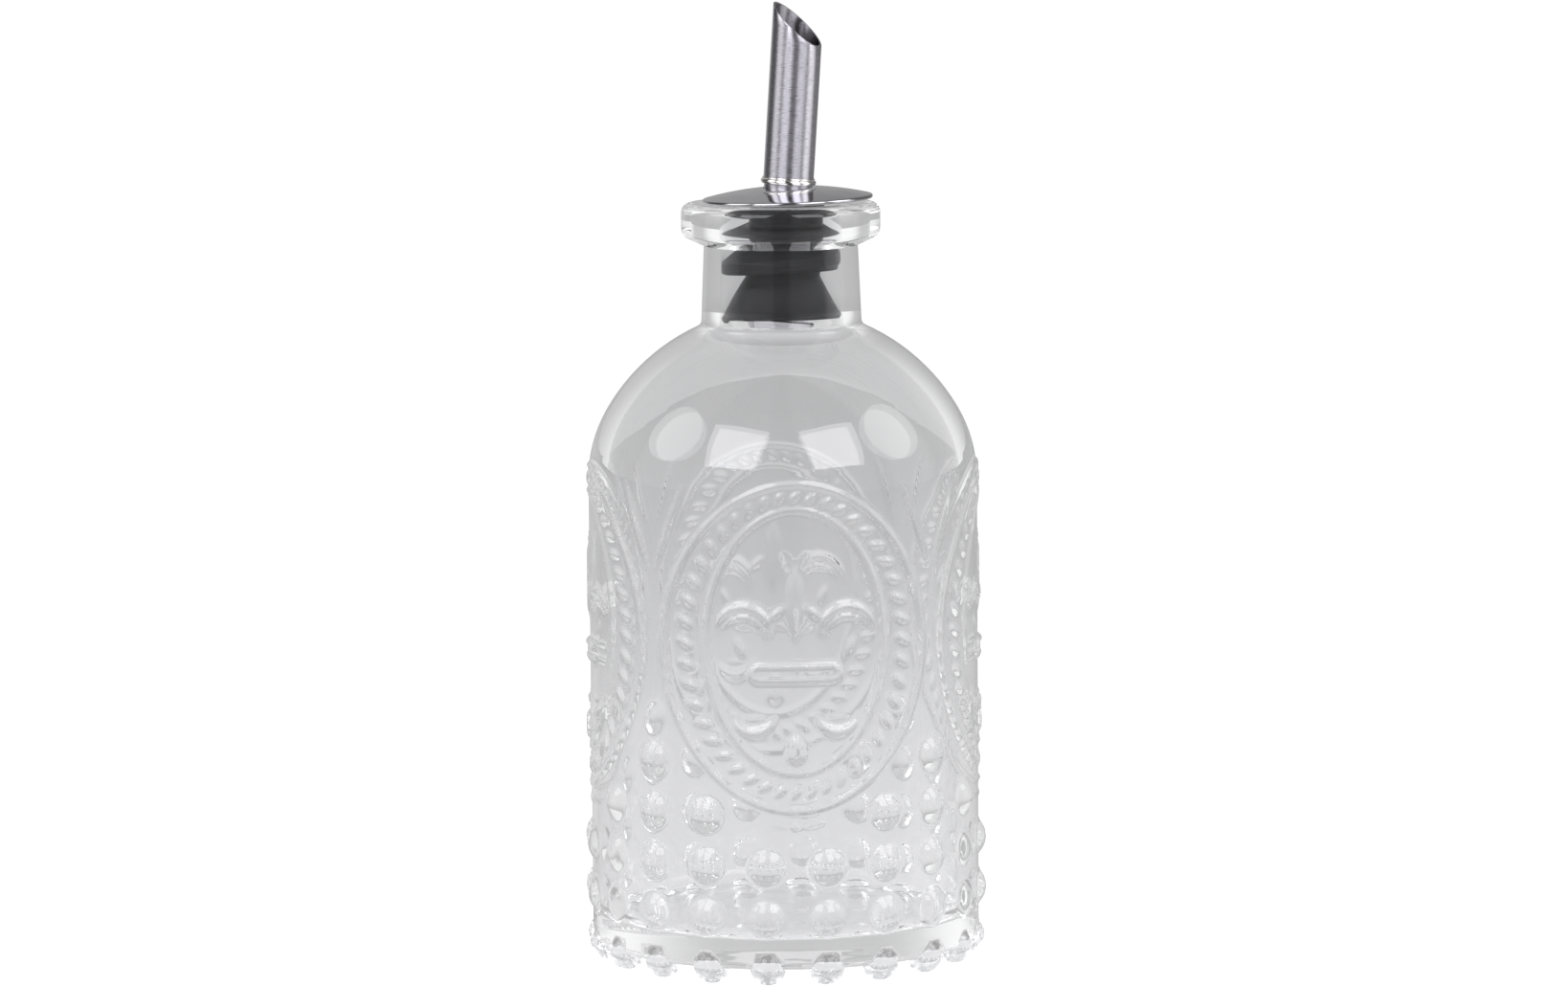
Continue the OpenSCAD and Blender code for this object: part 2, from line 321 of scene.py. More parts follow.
@dataclass(frozen=True)
class Oval(Form):
    """A ridge that follows an upright ellipse, just inside its outline."""

    at_z: float = 0.0
    half_w: float = 1.0
    half_h: float = 1.0
    width: float = 1.6

    def inside(self, x: float, z: float) -> float:
        """Distance of a point inside the ellipse."""
        dz = z - self.at_z
        level = math.hypot(x / self.half_w, dz / self.half_h)
        if level < MERGE_MM:
            return min(self.half_w, self.half_h)
        steep = math.hypot(x / self.half_w ** 2, dz / self.half_h ** 2) / level
        return (1.0 - level) / steep

    def depth(self, x: float, z: float) -> float:
        """Distance inside the ridge."""
        inside = self.inside(x, z)
        return min(inside, self.width - inside)


@dataclass
class Medallion:
    """The oval medallion: two ridges, a ring of slanted strokes between them and a lily in the middle.

    Points are measured from the medallion's upright middle line and from the table.

    Attributes:
        body_r: Radius of the body that carries it.
        outer_z: Height of the outer ridge's centre. Its half height and its half width as a turn follow.
        inner_z: Height of the inner ridge's centre. Its half height and half width follow.
        ridge_w: Width of a ridge.
        ridge_h: Height of a ridge and of a stroke.
        strokes: Number of strokes in the ring.
        stroke_slant: Angle of a stroke to the ring, in degrees.
        lily_h: How far the lily's highest forms stand out.
        lily_below: Distance outside the outer ridge beyond which only the lower half can have a form.
    """

    body_r: float = 37.2
    outer_z: float = 64.0
    outer_half_h: float = 31.5
    outer_half_turn: float = 42.4
    inner_z: float = 65.2
    inner_half_h: float = 25.6
    inner_half_w: float = 17.4
    ridge_w: float = 1.6
    ridge_h: float = 0.42
    strokes: int = 44
    stroke_len: float = 4.0
    stroke_w: float = 1.8
    stroke_slant: float = 52.0
    lily_h: float = 0.85
    lily_below: float = 3.0
    rings: tuple[Oval, Oval] = field(init=False)
    lily: tuple[Form, ...] = field(init=False)

    def __post_init__(self) -> None:
        """Works out the ridges and the lily."""
        outer_half_w = self.body_r * math.sin(math.radians(self.outer_half_turn))
        self.rings = (
            Oval(height=self.ridge_h, slope=0.75, at_z=self.outer_z, half_w=outer_half_w,
                 half_h=self.outer_half_h, width=self.ridge_w),
            Oval(height=self.ridge_h, slope=0.75, at_z=self.inner_z, half_w=self.inner_half_w,
                 half_h=self.inner_half_h, width=self.ridge_w))
        self.lily = tuple(self.lily_forms())

    def lily_forms(self) -> Iterable[Form]:
        """Yields the lily's forms, the middle ones first and then each pair."""
        high, mid, low = self.lily_h, 0.6 * self.lily_h, 0.3 * self.lily_h
        band = Bar(start=(-6.8, 59.2), end=(6.8, 59.2), radius=2.1)
        yield Rim(height=high, slope=0.75, around=band, width=1.5)
        yield Bar(height=mid, slope=1.2, edge=Edge.ROUND, start=(-6.4, 59.2), end=(6.4, 59.2), radius=1.9)
        yield Leaf(height=mid, slope=1.2, tip=(0.0, 64.6), end=(0.0, 81.0), width=3.6)
        yield Leaf(height=high, slope=1.3, tip=(0.0, 48.2), end=(0.0, 41.2), width=3.8)
        yield Spot(height=0.9 * high, slope=1.3, at=(0.0, 43.8), radius=2.0)
        yield Spot(height=low, slope=0.9, at=(0.0, 30.4), radius=1.1)
        for side in (-1.0, 1.0):
            yield Leaf(height=mid, slope=0.7, tip=(side * 1.4, 66.0), end=(side * 0.9, 78.5), width=1.3)
            yield Leaf(height=low, slope=0.6, tip=(side * 0.6, 78.0), end=(side * 2.4, 82.4), width=1.2)
            yield Moon(height=0.9 * high, slope=0.9, at=(side * 9.6, 67.6), radius=5.3,
                       bite=(side * 9.8, 65.4), bite_radius=5.0)
            yield Moon(height=mid, slope=0.6, at=(side * 9.7, 66.4), radius=4.2,
                       bite=(side * 9.9, 64.9), bite_radius=4.2)
            yield Leaf(height=mid, slope=0.8, tip=(side * 5.2, 68.9), end=(side * 1.7, 72.2), width=1.8)
            yield Leaf(height=mid, slope=0.8, tip=(side * 11.4, 66.6), end=(side * 9.2, 61.6), width=1.6)
            yield Moon(height=0.9 * high, slope=0.95, at=(side * 7.9, 50.8), radius=4.1,
                       bite=(side * 7.9, 54.0), bite_radius=4.6)
            yield Leaf(height=low, slope=0.6, tip=(side * 5.2, 50.6), end=(side * 10.6, 50.6), width=1.2)
            yield Leaf(height=low, slope=0.7, tip=(side * 0.4, 30.0), end=(side * 6.2, 31.3), width=1.6)

    def stroke_rise(self, x: float, z: float) -> float:
        """Height of the slanted strokes over a point between the two ridges."""
        outer, inner = self.rings
        mid_z = (outer.at_z + inner.at_z) / 2.0
        mid_w = (outer.half_w - self.ridge_w + inner.half_w) / 2.0
        mid_h = (outer.half_h - self.ridge_w + inner.half_h) / 2.0
        place = math.atan2((z - mid_z) / mid_h, x / mid_w) / math.tau * self.strokes
        best = 0.0
        for near in (math.floor(place), math.floor(place) + 1):
            angle = near / self.strokes * math.tau
            at = (mid_w * math.cos(angle), mid_z + mid_h * math.sin(angle))
            way = math.atan2(mid_h * math.cos(angle), -mid_w * math.sin(angle))
            way += math.radians(self.stroke_slant)
            half = (self.stroke_len / 2.0 * math.cos(way), self.stroke_len / 2.0 * math.sin(way))
            stroke = Leaf(height=self.ridge_h, slope=0.6, tip=(at[0] - half[0], at[1] - half[1]),
                          end=(at[0] + half[0], at[1] + half[1]), width=self.stroke_w)
            best = max(best, stroke.rise(x, z))
        return best

    def rise(self, x: float, z: float) -> float:
        """Height of the medallion over a point."""
        outer, inner = self.rings
        if outer.inside(x, z) < -self.lily_below:
            return max((form.rise(x, z) for form in self.lily if z < self.outer_z), default=0.0)
        best = max(ring.rise(x, z) for ring in self.rings)
        if inner.inside(x, z) < 0.0 < outer.inside(x, z) - self.ridge_w:
            return max(best, self.stroke_rise(x, z))
        return max([best] + [form.rise(x, z) for form in self.lily])


@dataclass
class Relief:
    """Everything pressed into the outside of the body: beads, medallions and the forks between them.

    Attributes:
        body_r: Radius of the body.
        medallions: Number of medallions round the body.
        bead_count: Number of beads in a full row.
        bead_first: Height of the lowest row.
        bead_pitch: Height from one row to the next.
        row_clear: For each row, the turn from a medallion's middle within which it has no beads.
        bead_root: Width of the soft root of a bead.
        fork_foot: Lower end of a prong of the fork, as distance from the fork's middle and height.
        fork_tip: Upper end of that prong, measured in the same way.
    """

    body_r: float = 37.2
    medallions: int = 4
    bead_count: int = 20
    bead_d: float = 6.8
    bead_h: float = 1.5
    bead_first: float = 12.8
    bead_pitch: float = 9.7
    row_clear: tuple[float, ...] = (0.0, 0.0, 20.0, 40.0)
    bead_root: float = 0.35
    fork_foot: Point = (0.5, 77.0)
    fork_tip: Point = (8.2, 96.0)
    fork_w: float = 1.4

    def __post_init__(self) -> None:
        """Sets up the medallion, a prong of the fork between two of them and the radius of a bead's ball."""
        self.medallion = Medallion(body_r=self.body_r)
        self.fork = Leaf(height=0.45, slope=0.6, tip=self.fork_foot, end=self.fork_tip, width=self.fork_w)
        self.ball_r = ((self.bead_d / 2.0) ** 2 + self.bead_h ** 2) / (2.0 * self.bead_h)

    def bead_rise(self, bearing: float, off: float, z: float) -> float:
        """Height of the beads over a point.

        Args:
            bearing: Direction of the point, in degrees from the middle of a medallion. Not used.
            off: The same without its sign.
            z: Height over the table.

        Returns:
            How far the surface stands out there.
        """
        step = FULL_TURN / self.bead_count
        row = round((z - self.bead_first) / self.bead_pitch)
        if not 0 <= row < len(self.row_clear):
            return 0.0
        middle = (math.floor(off / step) + 0.5) * step
        if middle <= self.row_clear[row]:
            return 0.0
        across = math.radians(off - middle) * self.body_r
        gap = math.hypot(across, z - self.bead_first - row * self.bead_pitch)
        if gap > self.bead_d / 2.0 + self.bead_root:
            return 0.0
        foot = self.ball_r - self.bead_h
        level = math.sqrt(max(self.ball_r ** 2 - gap ** 2, 0.0)) - foot
        blend = max(self.bead_root - abs(level), 0.0)
        return max(level, 0.0) + blend * blend / (4.0 * self.bead_root)

    def rise(self, bearing: float, z: float) -> float:
        """Height of the relief over a point of the side.

        Args:
            bearing: Direction of the point about the bottle's axis, in degrees from -Y.
            z: Height over the table.

        Returns:
            How far the surface stands out there.
        """
        pitch = FULL_TURN / self.medallions
        bearing = (bearing + pitch / 2.0) % pitch - pitch / 2.0
        off = abs(bearing)
        beads = self.bead_rise(bearing, off, z)
        medallion = self.medallion.rise(self.body_r * math.sin(math.radians(bearing)), z)
        fork = self.fork.rise(self.body_r * math.radians(pitch / 2.0 - off), z)
        return max(beads, medallion, fork)


# ---- Finishes ----


class Wiring:
    """A node tree under construction."""

    def __init__(self, tree: bpy.types.NodeTree) -> None:
        """Empties a tree.

        Args:
            tree: Tree of a material or of the world.
        """
        self.tree = tree
        self.tree.nodes.clear()

    def add(self, kind: str, feeds: dict[str | int, Socket | float | Stretch] | None = None,
            **settings: object) -> bpy.types.Node:
        """Adds a node, sets its properties and feeds its inputs.

        Args:
            kind: Type of the node.
            feeds: An output or a plain value for each input, by the input's name or number.
            settings: Properties of the node by name.

        Returns:
            The node.
        """
        node = self.tree.nodes.new(kind)
        for name, value in settings.items():
            setattr(node, name, value)
        for name, source in (feeds or {}).items():
            if isinstance(source, Socket):
                self.tree.links.new(source, node.inputs[name])
            else:
                node.inputs[name].default_value = source
        return node

    def compute(self, operation: str, first: Socket, second: Socket | float = 0.0) -> Socket:
        """Result of a Math node for two values."""
        return self.add("ShaderNodeMath", {0: first, 1: second}, operation=operation).outputs["Value"]

    def remap(self, value: Socket, start: Point, end: Point, style: str = "LINEAR") -> Socket:
        """Maps a value from one pair of numbers to another.

        Args:
            value: Value to map.
            start: A value and what it becomes.
            end: A higher value and what that becomes.
            style: The node's kind of interpolation.

        Returns:
            The mapped value, which stays between the two results.
        """
        feeds = {
            "Value": value, "From Min": start[0], "To Min": start[1], "From Max": end[0], "To Max": end[1]}
        return self.add("ShaderNodeMapRange", feeds, interpolation_type=style).outputs["Result"]

    def choose(self, when: Socket, otherwise: Socket | float, then: Socket | float) -> Socket:
        """Takes the second number where a switch is 1, and the first where it is 0."""
        return self.add("ShaderNodeMix", {0: when, 2: otherwise, 3: then}).outputs[0]


class Shader(Wiring):
    """A node material under construction."""

    def __init__(self, name: str) -> None:
        """Starts an empty material.

        Args:
            name: Name of the material.
        """
        self.material = bpy.data.materials.new(name)
        self.material.use_nodes = True
        super().__init__(self.material.node_tree)

    def show(self, surface: Socket) -> bpy.types.Material:
        """Joins the finished surface to the output and returns the material."""
        self.add("ShaderNodeOutputMaterial", {"Surface": surface})
        return self.material

    def noise(self, scale: Stretch, detail: float) -> Socket:
        """Adds noise on object coordinates.

        Args:
            scale: Features per metre along each axis.
            detail: Octaves of the noise.

        Returns:
            The noise's value.
        """
        where = self.add("ShaderNodeTexCoord").outputs["Object"]
        stretched = self.add("ShaderNodeMapping", {"Vector": where, "Scale": scale}).outputs["Vector"]
        feeds = {"Vector": stretched, "Scale": 1.0, "Detail": detail}
        return self.add("ShaderNodeTexNoise", feeds).outputs["Fac"]

    def spread(self, noise: Socket, low: float, high: float) -> Socket:
        """Maps the middle range of a noise value to two numbers."""
        return self.remap(noise, (0.3, low), (0.7, high))

    def blend(self, share: Socket, low: Socket | Colour, high: Socket | Colour) -> Socket:
        """Mixes two colours by the share of the second, from 0 to 1."""
        ends = [end if isinstance(end, Socket) else (*end, 1.0) for end in (low, high)]
        feeds = {"Factor": share, "A": ends[0], "B": ends[1]}
        return self.add("ShaderNodeMix", feeds, data_type="RGBA").outputs["Result"]

    def shades(self, noise: Socket, dark: Colour, light: Colour) -> Socket:
        """Mixes two colours by a noise value."""
        return self.blend(self.spread(noise, 0.0, 1.0), dark, light)

    def bump(self, height: Socket, depth: float, strength: float) -> Socket:
        """Adds a bump.

        Args:
            height: Height of the bump, from 0 to 1.
            depth: Depth of the bump in millimetres.
            strength: Strength of the bump.

        Returns:
            The bumped normal.
        """
        feeds = {"Height": height, "Distance": depth * MM, "Strength": strength}
        return self.add("ShaderNodeBump", feeds).outputs["Normal"]


@dataclass(frozen=True)
class ClearGlass:
    """Pressed soda-lime glass: clear, neutral to faintly lilac, with the slow waves that a mould leaves.

    A lamp's light passes straight through it, and so does a ray that it has mirrored too often to follow.

    Attributes:
        tint: Colour of each surface.
        tint_deep: Colour where a wave is high.
        bends: Index of refraction.
        wave_size: Waves per metre, round about and upwards.
        wave_depth: Height of a wave in millimetres.
        lamp_share: Share of a lamp's light that passes each surface.
    """

    tint: Colour = (0.980, 0.981, 0.985)
    tint_deep: Colour = (0.955, 0.958, 0.964)
    bends: float = 1.46
    wave_size: Stretch = (90.0, 90.0, 54.0)
    wave_depth: float = 0.10
    lamp_share: float = 0.86

    def material(self) -> bpy.types.Material:
        """Builds the glass material.

        Returns:
            The material.
        """
        shader = Shader("clear_glass")
        waves = shader.noise(self.wave_size, 1.5)
        glass = shader.add("ShaderNodeBsdfPrincipled", {
            "Roughness": 0.0, "IOR": self.bends, "Transmission Weight": 1.0,
            "Base Color": shader.shades(waves, self.tint, self.tint_deep),
            "Normal": shader.bump(waves, self.wave_depth, 0.35)})
        passed = (self.lamp_share, self.lamp_share, self.lamp_share, 1.0)
        through = shader.add("ShaderNodeBsdfTransparent", {"Color": passed})
        path = shader.add("ShaderNodeLightPath").outputs
        trapped = shader.compute("GREATER_THAN", path["Glossy Depth"], MIRRORS)
        straight = shader.compute("MAXIMUM", path["Is Shadow Ray"], trapped)
        feeds = {0: straight, 1: glass.outputs["BSDF"], 2: through.outputs["BSDF"]}
        mix = shader.add("ShaderNodeMixShader", feeds)
        return shader.show(mix.outputs["Shader"])


@dataclass(frozen=True)
class Rubber:
    """Black moulded rubber with a satin skin and fine level streaks from its mould."""

    dark: Colour = (0.003, 0.003, 0.004)
    light: Colour = (0.011, 0.011, 0.015)
    rough: Point = (0.34, 0.52)
    gloss: float = 0.12
    streak: Stretch = (140.0, 140.0, 2600.0)

    def material(self) -> bpy.types.Material:
        """Builds the rubber material.

        Returns:
            The material.
        """
        shader = Shader("black_rubber")
        streaks = shader.noise(self.streak, 3.0)
        skin = shader.add("ShaderNodeBsdfPrincipled", {
            "Specular IOR Level": self.gloss,
            "Base Color": shader.shades(streaks, self.dark, self.light),
            "Roughness": shader.spread(streaks, *self.rough),
            "Normal": shader.bump(streaks, 0.06, 0.5)})
        return shader.show(skin.outputs["BSDF"])


@dataclass(frozen=True)
class BrushedSteel:
    """Stainless tube polished round and round, so that its highlights stretch along it.

    Faces whose attribute "bore" is 1 get a darker colour, which is painted shade inside the bore.
    """

    dark: Colour = (0.47, 0.46, 0.50)
    light: Colour = (0.68, 0.665, 0.71)
    # Painted shade: the darker colour of the faces inside the bore.
    bore: Colour = (0.27, 0.26, 0.28)
    rough: Point = (0.26, 0.36)
    stretch: float = 0.85
    quarter_turn: float = 0.25
    grain: Stretch = (900.0, 900.0, 6500.0)

    def material(self) -> bpy.types.Material:
        """Builds the brushed steel material.

        Returns:
            The material.
        """
        shader = Shader("brushed_steel")
        grain = shader.noise(self.grain, 4.0)
        bore_shade_mask = shader.add("ShaderNodeAttribute", attribute_name=BORE_SHADE_ATTRIBUTE).outputs["Fac"]
        round_about = shader.add("ShaderNodeTangent", direction_type="RADIAL", axis="Z").outputs["Tangent"]
        steel = shader.add("ShaderNodeBsdfPrincipled", {
            "Metallic": 1.0, "Anisotropic": self.stretch, "Anisotropic Rotation": self.quarter_turn,
            # Faces inside the bore take the darker colour, which is painted shade.
            "Base Color": shader.blend(bore_shade_mask, shader.shades(grain, self.dark, self.light), self.bore),
            "Roughness": shader.spread(grain, *self.rough),
            "Normal": shader.bump(grain, 0.01, 0.35), "Tangent": round_about})
        return shader.show(steel.outputs["BSDF"])


@dataclass(frozen=True)
class PolishedSteel:
    """Mirror-polished stainless steel with faint smears."""

    name: str = "polished_steel"
    dark: Colour = (0.50, 0.495, 0.52)
    light: Colour = (0.60, 0.595, 0.62)
    rough: Point = (0.06, 0.13)
    smear: Stretch = (220.0, 220.0, 900.0)

    def material(self) -> bpy.types.Material:
        """Builds the polished steel material.

        Returns:
            The material.
        """
        shader = Shader(self.name)
        smear = shader.noise(self.smear, 3.0)
        steel = shader.add("ShaderNodeBsdfPrincipled", {
            "Metallic": 1.0,
            "Base Color": shader.shades(smear, self.dark, self.light),
            "Roughness": shader.spread(smear, *self.rough),
            "Normal": shader.bump(smear, 0.004, 0.2)})
        return shader.show(steel.outputs["BSDF"])


def hand_over(piece: bpy.types.Object, finish: bpy.types.Material, body: Body,
              node: str) -> None:
    """Dresses a piece, hides the solid that it replaces and hangs it on its body.

    Args:
        piece: Finished piece.
        finish: Its material.
        body: Body that it rides on.
        node: Solid that it replaces.
    """
    piece.data.materials.clear()
    piece.data.materials.append(finish)
    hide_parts(node)
    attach(piece, body.value)
    log.info("%s: %d faces on %s", piece.name, len(piece.data.polygons), body.value)


# ---- The bottle ----


@dataclass
class GlassBottle:
    """The pressed-glass bottle: one closed shell with its relief and its feet.

    The outside of the body is a cylinder, an arc of `shoulder_r` over `shoulder_turn` degrees, and a larger
    arc about the axis up to the neck. The inside follows it at `body_wall`. The relief is pressed into the
    outside between `zone_from` and `zone_to`, where each face is cut `zone_cuts` times.
    """

    body_d: float = 74.4
    side_top: float = 91.9
    shoulder_r: float = 26.0
    shoulder_turn: float = 30.0
    body_wall: float = 3.4
    floor_t: float = 5.0
    heel_r: float = 1.5
    floor_r: float = 3.0
    bore_d: float = 23.4
    neck_len: float = 14.2
    neck_wall: float = 3.0
    neck_flare: float = 0.6
    neck_fillet: float = 1.5
    throat_r: float = 8.0
    lip_reach: float = 4.3
    lip_h: float = 8.1
    lip_top_r: float = 1.8
    lip_under_r: float = 2.2
    lip_under_h: float = 1.2
    lip_under_turn: float = 60.0
    mouth_r: float = 0.8
    foot_d: float = 7.0
    foot_reach: float = 1.2
    foot_flat: float = 0.2
    foot_gap: float = 2.9
    sides: int = 112
    side_rows: int = 42
    inner_rows: int = 20
    zone_from: float = 8.5
    zone_to: float = 97.1
    zone_cuts: int = 3
    slack: float = 0.5
    ripple: float = 0.10
    waves: tuple[Point, ...] = ((3.0, 11.0), (7.0, -7.0), (4.0, 4.5))
    crease: float = 58.0
    relief: Relief = field(default_factory=Relief)

    def __post_init__(self) -> None:
        """Works out the radii and centres that the profile's arcs share."""
        self.body_r = self.body_d / 2.0
        self.bore_r = self.bore_d / 2.0
        self.neck_r = self.bore_r + self.neck_wall
        self.neck_root_r = self.neck_r + self.neck_flare
        self.lip_r = self.neck_r + self.lip_reach
        self.cavity_r = self.body_r - self.body_wall
        self.shoulder_x = self.body_r - self.shoulder_r
        turn = math.radians(self.shoulder_turn)
        self.crown_r = self.shoulder_r + self.shoulder_x / math.cos(turn)
        self.crown_z = self.side_top - self.shoulder_x * math.tan(turn)
        self.crown_in_r = self.crown_r - self.body_wall
        self.fillet_x = self.neck_root_r + self.neck_fillet
        self.fillet_z = self.crown_z + math.sqrt((self.crown_r + self.neck_fillet) ** 2 - self.fillet_x ** 2)
        self.throat_x = self.bore_r + self.throat_r
        throat_reach = self.crown_in_r + self.throat_r
        self.throat_z = self.crown_z + math.sqrt(throat_reach ** 2 - self.throat_x ** 2)
        self.lip_z = self.fillet_z + self.neck_len
        self.mouth_z = self.lip_z + self.lip_h
        self.floor_z = self.foot_gap + self.floor_t

    def draw_outside(self, pen: Pen) -> None:
        """Draws the profile from the axis under the floor to the top of the lip.

        Args:
            pen: Pen that stands on the axis under the floor.
        """
        fillet_turn = math.degrees(math.atan2(self.fillet_z - self.crown_z, self.fillet_x))
        pen.line(self.body_r - self.heel_r, self.foot_gap, 8)
        pen.arc(self.body_r - self.heel_r, self.foot_gap + self.heel_r, 90.0, 4)
        pen.line(self.body_r, self.side_top, self.side_rows)
        pen.arc(self.shoulder_x, self.side_top, self.shoulder_turn, 8)
        pen.arc(0.0, self.crown_z, fillet_turn - self.shoulder_turn, 12)
        pen.arc(self.fillet_x, self.fillet_z, -fillet_turn, 6)
        pen.line(self.neck_r, self.lip_z, 6)
        under = math.radians(self.lip_under_turn)
        under_x = self.lip_r - self.lip_under_r
        under_z = self.lip_z + self.lip_under_h + self.lip_under_r
        way = (math.cos(under), math.sin(under))
        pen.line(under_x + self.lip_under_r * way[0], under_z - self.lip_under_r * way[1], 2)
        pen.arc(under_x, under_z, self.lip_under_turn, 6)
        pen.line(self.lip_r, self.mouth_z - self.lip_top_r)
        pen.arc(self.lip_r - self.lip_top_r, self.mouth_z - self.lip_top_r, 90.0, 7)

    def draw_inside(self, pen: Pen) -> None:
        """Draws the profile from the top of the lip through the mouth to the axis on the floor.

        Args:
            pen: Pen that stands on top of the lip.
        """
        throat_turn = math.degrees(math.atan2(self.throat_z - self.crown_z, self.throat_x))
        pen.line(self.bore_r + self.mouth_r, self.mouth_z, 3)
        pen.arc(self.bore_r + self.mouth_r, self.mouth_z - self.mouth_r, 90.0, 4)
        pen.line(self.bore_r, self.throat_z, 6)
        pen.arc(self.throat_x, self.throat_z, throat_turn, 8)
        pen.arc(0.0, self.crown_z, self.shoulder_turn - throat_turn, 9)
        pen.arc(self.shoulder_x, self.side_top, -self.shoulder_turn, 6)
        pen.line(self.cavity_r, self.floor_z + self.floor_r, self.inner_rows)
        pen.arc(self.cavity_r - self.floor_r, self.floor_z + self.floor_r, -90.0, 5)
        pen.line(0.0, self.floor_z, 7)

    def shell(self) -> bmesh.types.BMesh:
        """Builds the plain shell without feet and relief.

        Returns:
            A closed mesh in millimetres.
        """
        bm = bmesh.new()
        pen = Pen(bm, 0.0, self.foot_gap)
        self.draw_outside(pen)
        self.draw_inside(pen)
        lathe(bm, self.sides)
        return bm

    def feet(self) -> bmesh.types.BMesh:
        """Builds the ring of ball feet with their flats.

        Returns:
            A mesh of separate closed balls in millimetres.
        """
        bm = bmesh.new()
        step = FULL_TURN / self.relief.bead_count
        foot_x = self.body_r + self.foot_reach - self.foot_d / 2.0
        foot_z = self.foot_d / 2.0 - self.foot_flat
        for number in range(self.relief.bead_count):
            place = (Matrix.Rotation(math.radians((number + 0.5) * step), 4, "Z")
                     @ Matrix.Translation((foot_x, 0.0, foot_z)))
            bmesh.ops.create_uvsphere(
                bm, u_segments=18, v_segments=12, radius=self.foot_d / 2.0, matrix=place)
        rims = slice_off(bm, Vector((0.0, 0.0, 0.0)), Vector((0.0, 0.0, -1.0)))
        bmesh.ops.holes_fill(bm, edges=rims, sides=0)
        bmesh.ops.recalc_face_normals(bm, faces=bm.faces)
        return bm

    def side_radius(self, z: float) -> float:
        """Radius of the plain outside at a height on the side or the shoulder's first arc."""
        if z <= self.side_top:
            return self.body_r
        return self.shoulder_x + math.sqrt(self.shoulder_r ** 2 - (z - self.side_top) ** 2)

    def in_zone(self, vert: bmesh.types.BMVert) -> bool:
        """Whether a vertex lies on the outside where the relief is pressed."""
        z = vert.co.z
        if not self.zone_from < z < self.zone_to:
            return False
        return math.hypot(vert.co.x, vert.co.y) > self.side_radius(z) - self.slack

    def press_relief(self, bm: bmesh.types.BMesh) -> None:
        """Cuts the side into small faces and moves them out by the relief.

        Args:
            bm: Closed mesh of the bottle in millimetres.
        """
        edges = [edge for edge in bm.edges if all(self.in_zone(vert) for vert in edge.verts)]
        bmesh.ops.subdivide_edges(bm, edges=edges, cuts=self.zone_cuts, use_grid_fill=True)
        for vert in bm.verts:
            if not self.in_zone(vert):
                continue
            x, y, z = vert.co
            bearing = math.degrees(math.atan2(x, -y))
            outwards = Vector((x, y, 0.0)).normalized()
            radius = self.side_radius(z)
            tilt = math.asin(max(z - self.side_top, 0.0) / self.shoulder_r)
            normal = outwards * math.cos(tilt) + Vector((0.0, 0.0, math.sin(tilt)))
            vert.co = outwards * radius + Vector((0.0, 0.0, z)) + normal * self.relief.rise(bearing, z)

    def wave_inside(self, bm: bmesh.types.BMesh) -> None:
        """Gives the inner wall slow waves: each has a count round the bottle and a length upwards.

        Args:
            bm: Closed mesh of the bottle in millimetres.
        """
        low, high = self.floor_z + self.floor_r, self.side_top
        for vert in bm.verts:
            x, y, z = vert.co
            if not low < z < high or abs(math.hypot(x, y) - self.cavity_r) > self.slack:
                continue
            turn = math.atan2(y, x)
            wave = sum(math.sin(count * turn + z / length) for count, length in self.waves)
            fade = math.sin(math.pi * (z - low) / (high - low))
            outwards = Vector((x, y, 0.0)).normalized()
            vert.co += outwards * self.ripple * wave / len(self.waves) * fade

    def build(self, finish: bpy.types.Material) -> None:
        """Builds and dresses the bottle.

        Args:
            finish: Glass material.
        """
        shell = as_object(self.shell(), "bottle_shell", FULL_TURN)
        feet = as_object(self.feet(), "bottle_feet", FULL_TURN)
        union = shell.modifiers.new("feet", "BOOLEAN")
        union.operation = "UNION"
        union.solver = "EXACT"
        union.object = feet
        graph = bpy.context.evaluated_depsgraph_get()
        bm = bmesh.new()
        bm.from_mesh(shell.evaluated_get(graph).to_mesh())
        for helper in (shell, feet):
            bpy.data.meshes.remove(helper.data)
        bmesh.ops.scale(bm, vec=(1.0 / MM, 1.0 / MM, 1.0 / MM), verts=bm.verts)
        self.press_relief(bm)
        self.wave_inside(bm)
        bottle = as_object(bm, "pressed_glass_bottle", self.crease)
        hand_over(bottle, finish, Body.BOTTLE, "glass_bottle")


# ---- The pourer ----


